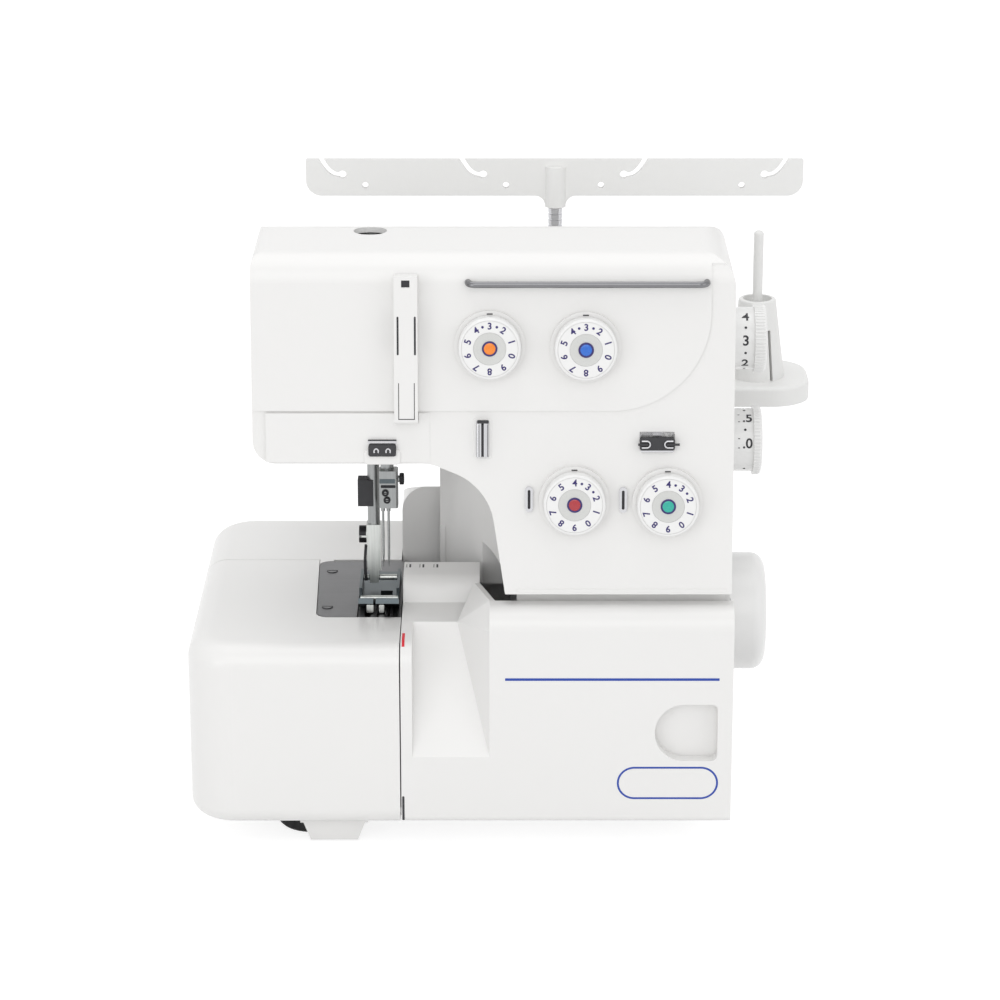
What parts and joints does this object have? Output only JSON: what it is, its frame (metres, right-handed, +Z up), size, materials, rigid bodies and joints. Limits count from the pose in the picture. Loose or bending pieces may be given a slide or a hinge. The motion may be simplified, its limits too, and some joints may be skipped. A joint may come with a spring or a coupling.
{
  "type": "serger overlock machine",
  "caption": "Compact home serger with tension dials on a leaning panel, swing-out side cover, drop-down looper cover, telescopic thread stand and setting dials at the right end.",
  "frame": {"origin": "on the table under the middle of the whole machine", "axes": "+X to the operator's right, along the thread rail; +Y away from the operator; +Z up"},
  "size_m": [0.3084, 0.205, 0.302],
  "materials": {
    "white_shell": "white moulded plastic with a faint grain",
    "pale_dial": "pale smooth plastic",
    "cast_frame": "cast aluminium, plain",
    "steel": "ground steel",
    "polished": "polished plate",
    "black_steel": "blackened steel",
    "black_plastic": "black moulded plastic",
    "black_rubber": "black rubber",
    "bronze": "sintered bronze",
    "spool_plastic": "white moulded plastic",
    "lamp_lens": "milky lens"
  },
  "bodies": {
    "machine": {"front_cover": "white_shell", "rear_cover": "white_shell", "face_cover": "white_shell", "right_cover": "white_shell", "rear_housing": "white_shell", "rear_bed_cover": "white_shell", "base_tray": "white_shell", "take_up_cover": "white_shell", "main_frame": "cast_frame", "side_cover_pin": "steel", "lower_knife": "steel", "tension_stems": "steel", "pole_outer": "steel", "needle_plate_screws": "steel", "needle_plate": "polished", "thread_rod": "polished", "panel_thread_guides": "polished", "face_thread_guide": "polished", "spool_pins": "polished", "motor": "black_steel", "power_inlet": "black_plastic", "switch_frame": "black_plastic", "rubber_feet": "black_rubber", "drive_belt": "black_rubber", "bushes": "bronze", "spool_stand": "spool_plastic", "cone_holders": "spool_plastic", "sewing_lamp": "lamp_lens"},
    "looper_rod": {"looper_hinge_rod": "steel"},
    "looper_cover": {"looper_cover": "white_shell"},
    "side_cover": {"side_cover": "white_shell"},
    "drive_shaft": {"main_shaft": "steel", "handwheel": "pale_dial", "drive_pulley": "steel"},
    "motor_rotor": {"motor_pulley": "steel"},
    "needle_bar": {"needle_bar": "steel", "needle_clamp": "steel", "needles": "polished"},
    "presser_bar": {"presser_bar": "steel", "foot_holder": "steel", "presser_foot": "steel", "thread_cutter": "black_plastic", "foot_release_lever": "black_steel"},
    "presser_lifter": {"presser_lifter": "steel"},
    "pressure_screw": {"pressure_screw": "steel"},
    "feed_main": {"feed_dog_main": "steel"},
    "feed_differential": {"feed_dog_differential": "steel"},
    "upper_knife": {"upper_knife": "steel"},
    "upper_looper": {"upper_looper": "steel"},
    "lower_looper": {"lower_looper": "steel"},
    "left_needle_dial": {"left_needle_dial": "pale_dial"},
    "right_needle_dial": {"right_needle_dial": "pale_dial"},
    "upper_looper_dial": {"upper_looper_dial": "pale_dial"},
    "lower_looper_dial": {"lower_looper_dial": "pale_dial"},
    "stitch_length_dial": {"stitch_length_dial": "pale_dial"},
    "differential_feed_dial": {"differential_feed_dial": "pale_dial"},
    "power_switch": {"power_switch": "black_plastic"},
    "take_up_lever": {"take_up_lever": "steel"},
    "pole": {"pole_inner": "steel", "thread_rail": "spool_plastic"}
  },
  "joints": [
    {"name": "looper_cover_slide", "type": "slide", "parent": "machine", "child": "looper_rod", "axis": [1, 0, 0], "range_m": [0, 0.006]},
    {"name": "looper_cover_hinge", "type": "hinge", "parent": "looper_rod", "child": "looper_cover", "pos_m": [-0.02725, -0.0945, 0.022], "axis": [1, 0, 0], "range_deg": [0, 90]},
    {"name": "side_cover_hinge", "type": "hinge", "parent": "machine", "child": "side_cover", "pos_m": [-0.15125, 0.0205, 0.0523], "axis": [0, 0, -1], "range_deg": [0, 60]},
    {"name": "handwheel_turn", "type": "hinge", "parent": "machine", "child": "drive_shaft", "pos_m": [0.10575, -0.0125, 0.0907], "axis": [1, 0, 0], "continuous": true},
    {"name": "motor_turn", "type": "hinge", "parent": "machine", "child": "motor_rotor", "pos_m": [0.08075, 0.0625, 0.052], "axis": [1, 0, 0], "continuous": true},
    {"name": "needle_bar_slide", "type": "slide", "parent": "machine", "child": "needle_bar", "axis": [0, 0, -1], "range_m": [0, 0.027]},
    {"name": "presser_bar_slide", "type": "slide", "parent": "machine", "child": "presser_bar", "axis": [0, 0, 1], "range_m": [0, 0.006]},
    {"name": "presser_lifter_turn", "type": "hinge", "parent": "machine", "child": "presser_lifter", "pos_m": [-0.05325, 0.0225, 0.214], "axis": [0, 1, 0], "range_deg": [0, 37]},
    {"name": "pressure_screw_turn", "type": "hinge", "parent": "machine", "child": "pressure_screw", "pos_m": [-0.06625, -0.0259, 0.289], "axis": [0, 0, 1], "range_deg": [-360, 360]},
    {"name": "feed_main_slide", "type": "slide", "parent": "machine", "child": "feed_main", "axis": [0, 1, 0], "range_m": [-0.002, 0.002]},
    {"name": "feed_differential_slide", "type": "slide", "parent": "machine", "child": "feed_differential", "axis": [0, 1, 0], "range_m": [-0.002, 0.002]},
    {"name": "upper_knife_swing", "type": "hinge", "parent": "machine", "child": "upper_knife", "pos_m": [-0.03925, -0.0765, 0.06], "axis": [1, 0, 0], "range_deg": [-4, 4]},
    {"name": "upper_looper_swing", "type": "hinge", "parent": "machine", "child": "upper_looper", "pos_m": [-0.01925, -0.0245, 0.06], "axis": [0, 1, 0], "range_deg": [-8, 10]},
    {"name": "lower_looper_swing", "type": "hinge", "parent": "machine", "child": "lower_looper", "pos_m": [-0.03525, -0.0245, 0.052], "axis": [0, 1, 0], "range_deg": [-2, 12]},
    {"name": "left_needle_dial_turn", "type": "hinge", "parent": "machine", "child": "left_needle_dial", "pos_m": [-0.00905, -0.07994, 0.2475], "axis": [0, -0.9945, 0.1045], "range_deg": [-216, 108]},
    {"name": "right_needle_dial_turn", "type": "hinge", "parent": "machine", "child": "right_needle_dial", "pos_m": [0.03575, -0.08, 0.2469], "axis": [0, -0.9945, 0.1045], "range_deg": [-216, 108]},
    {"name": "upper_looper_dial_turn", "type": "hinge", "parent": "machine", "child": "upper_looper_dial", "pos_m": [0.03075, -0.08771, 0.1736], "axis": [0, -0.9945, 0.1045], "range_deg": [-180, 144]},
    {"name": "lower_looper_dial_turn", "type": "hinge", "parent": "machine", "child": "lower_looper_dial", "pos_m": [0.07465, -0.08778, 0.1729], "axis": [0, -0.9945, 0.1045], "range_deg": [-180, 144]},
    {"name": "stitch_length_turn", "type": "hinge", "parent": "machine", "child": "stitch_length_dial", "pos_m": [0.10575, -0.0125, 0.232], "axis": [1, 0, 0], "range_deg": [-96, 48]},
    {"name": "differential_feed_turn", "type": "hinge", "parent": "machine", "child": "differential_feed_dial", "pos_m": [0.10575, -0.0125, 0.18], "axis": [1, 0, 0], "range_deg": [-118, 100]},
    {"name": "power_switch_rock", "type": "hinge", "parent": "machine", "child": "power_switch", "pos_m": [0.10075, -0.0655, 0.068], "axis": [0, 1, 0], "range_deg": [-8, 8]},
    {"name": "take_up_swing", "type": "hinge", "parent": "machine", "child": "take_up_lever", "pos_m": [-0.04805, -0.06606, 0.24635], "axis": [1, 0, 0], "range_deg": [-18, 18]},
    {"name": "pole_slide", "type": "slide", "parent": "machine", "child": "pole", "axis": [0, 0, 1], "range_m": [0, 0.12]}
  ],
  "couplings": [
    {"joint": "motor_turn", "follows": "handwheel_turn", "ratio": 3},
    {"joint": "presser_lifter_turn", "follows": "presser_bar_slide", "rad_per_m": 107.62},
    {"joint": "feed_differential_slide", "follows": "feed_main_slide", "ratio": 1}
  ]
}
